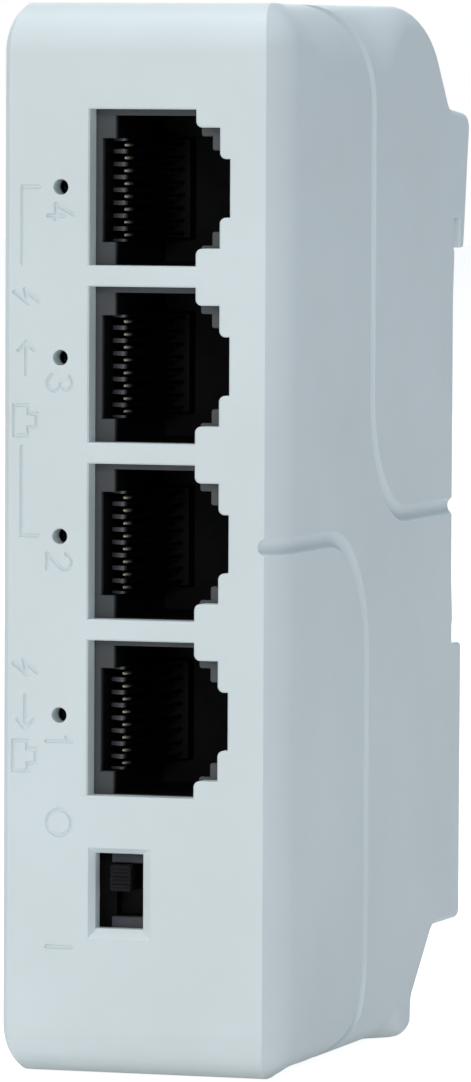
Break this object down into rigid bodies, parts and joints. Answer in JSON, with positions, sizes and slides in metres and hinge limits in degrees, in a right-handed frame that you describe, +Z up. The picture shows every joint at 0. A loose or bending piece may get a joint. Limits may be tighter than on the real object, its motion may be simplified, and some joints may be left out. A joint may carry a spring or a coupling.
{
  "type": "din rail network switch with power over ethernet",
  "caption": "Slim DIN-rail pass-through switch that passes power and data from one network jack to others, with a slide switch.",
  "frame": {"origin": "middle of the flat face that sits against the rail, level with the rail's centre line", "axes": "+X to the right seen from the front, +Y from the front face towards the rail, +Z up"},
  "size_m": [0.0238, 0.0522, 0.085],
  "materials": {
    "housing_plastic": "fine moulded texture, cool white",
    "jack_plastic": "glass-filled dark moulding",
    "switch_plastic": "black, slightly glossy",
    "board": "green solder mask",
    "contact_gold": "thin gold plate",
    "steel": "bright zinc plate",
    "lamp": "clear resin",
    "chip_resin": "moulded epoxy",
    "ferrite": "dull pressed ferrite",
    "capacitor_sleeve": "shrunk sleeve"
  },
  "bodies": {
    "housing": {"board_screw_1": "steel", "board_screw_2": "steel", "bridge_rectifier_1": "chip_resin", "bridge_rectifier_2": "chip_resin", "clock_crystal": "steel", "cover_screw_1": "steel", "cover_screw_2": "steel", "cover_screw_3": "steel", "filter_capacitor": "capacitor_sleeve", "jack_housing": "jack_plastic", "latch_spring": "steel", "main_board": "board", "main_housing": "housing_plastic", "port_contacts_1": "contact_gold", "port_contacts_2": "contact_gold", "port_contacts_3": "contact_gold", "port_contacts_4": "contact_gold", "port_magnetics_1": "chip_resin", "port_magnetics_2": "chip_resin", "port_magnetics_3": "chip_resin", "port_magnetics_4": "chip_resin", "power_controller": "chip_resin", "power_inductor": "ferrite", "side_cover": "housing_plastic", "status_led_1": "lamp", "status_led_2": "lamp", "status_led_3": "lamp", "status_led_4": "lamp", "switch_body": "switch_plastic", "switch_chip": "chip_resin"},
    "latch": {"rail_latch": "housing_plastic"},
    "knob": {"switch_knob": "switch_plastic"}
  },
  "joints": [
    {"name": "latch_slide", "type": "slide", "parent": "housing", "child": "latch", "axis": [0, 0, 1], "range_m": [-0.003, 0], "stiffness_N_per_m": 900, "springref_m": 0.003, "deforming": ["latch_spring"]},
    {"name": "knob_slide", "type": "slide", "parent": "housing", "child": "knob", "axis": [0, 0, 1], "range_m": [-0.002, 0]}
  ]
}
